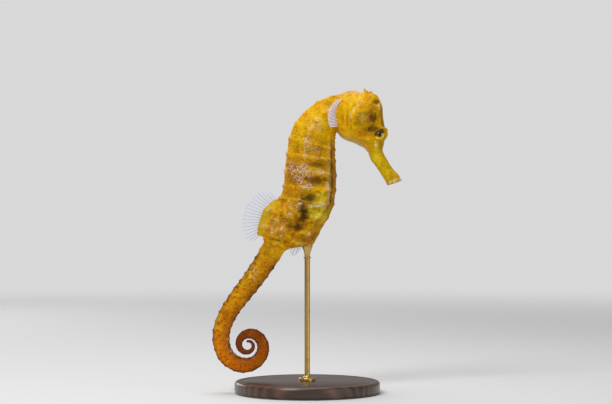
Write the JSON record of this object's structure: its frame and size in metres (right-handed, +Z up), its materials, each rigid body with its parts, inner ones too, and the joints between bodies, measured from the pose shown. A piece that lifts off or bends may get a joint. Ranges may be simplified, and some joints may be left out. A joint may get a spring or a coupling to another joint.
{
  "type": "seahorse model on display stand",
  "caption": "Life-size still model of a yellow seahorse with a coiled tail, held upright by one short rod on a flat round base.",
  "frame": {"origin": "centre of the stand base's flat underside", "axes": "+Z up, +X the way the animal faces, -Y its right side; the head is turned ten degrees to the right"},
  "size_m": [0.0621, 0.048, 0.1005],
  "materials": {
    "skin_yellow": "satin, bright yellow skin over bony plates",
    "skin_ochre": "satin, ochre skin with dark brown bands and pale specks",
    "skin_orange": "satin, orange-brown skin",
    "skin_rust": "satin, red-brown skin",
    "fin_membrane": "clear membrane with fine rays",
    "eye": "wet, dark pupil in a pale gold iris",
    "stand_wood": "satin dark walnut",
    "stand_brass": "brushed"
  },
  "bodies": {
    "root": {"mouth": "skin_yellow", "snout": "skin_yellow", "head": "skin_yellow", "coronet": "skin_yellow", "neck": "skin_yellow", "trunk_upper": "skin_ochre", "trunk_lower": "skin_ochre", "tail_1": "skin_orange", "tail_2": "skin_orange", "tail_3": "skin_orange", "tail_4": "skin_rust", "tail_5": "skin_rust", "tail_6": "skin_rust", "tail_7": "skin_rust", "tail_8": "skin_rust", "eye_right": "eye", "eye_left": "eye", "dorsal_fin": "fin_membrane", "anal_fin": "fin_membrane", "pectoral_fin_right": "fin_membrane", "pectoral_fin_left": "fin_membrane", "stand_base": "stand_wood", "stand_rod": "stand_brass"}
  },
  "joints": []
}
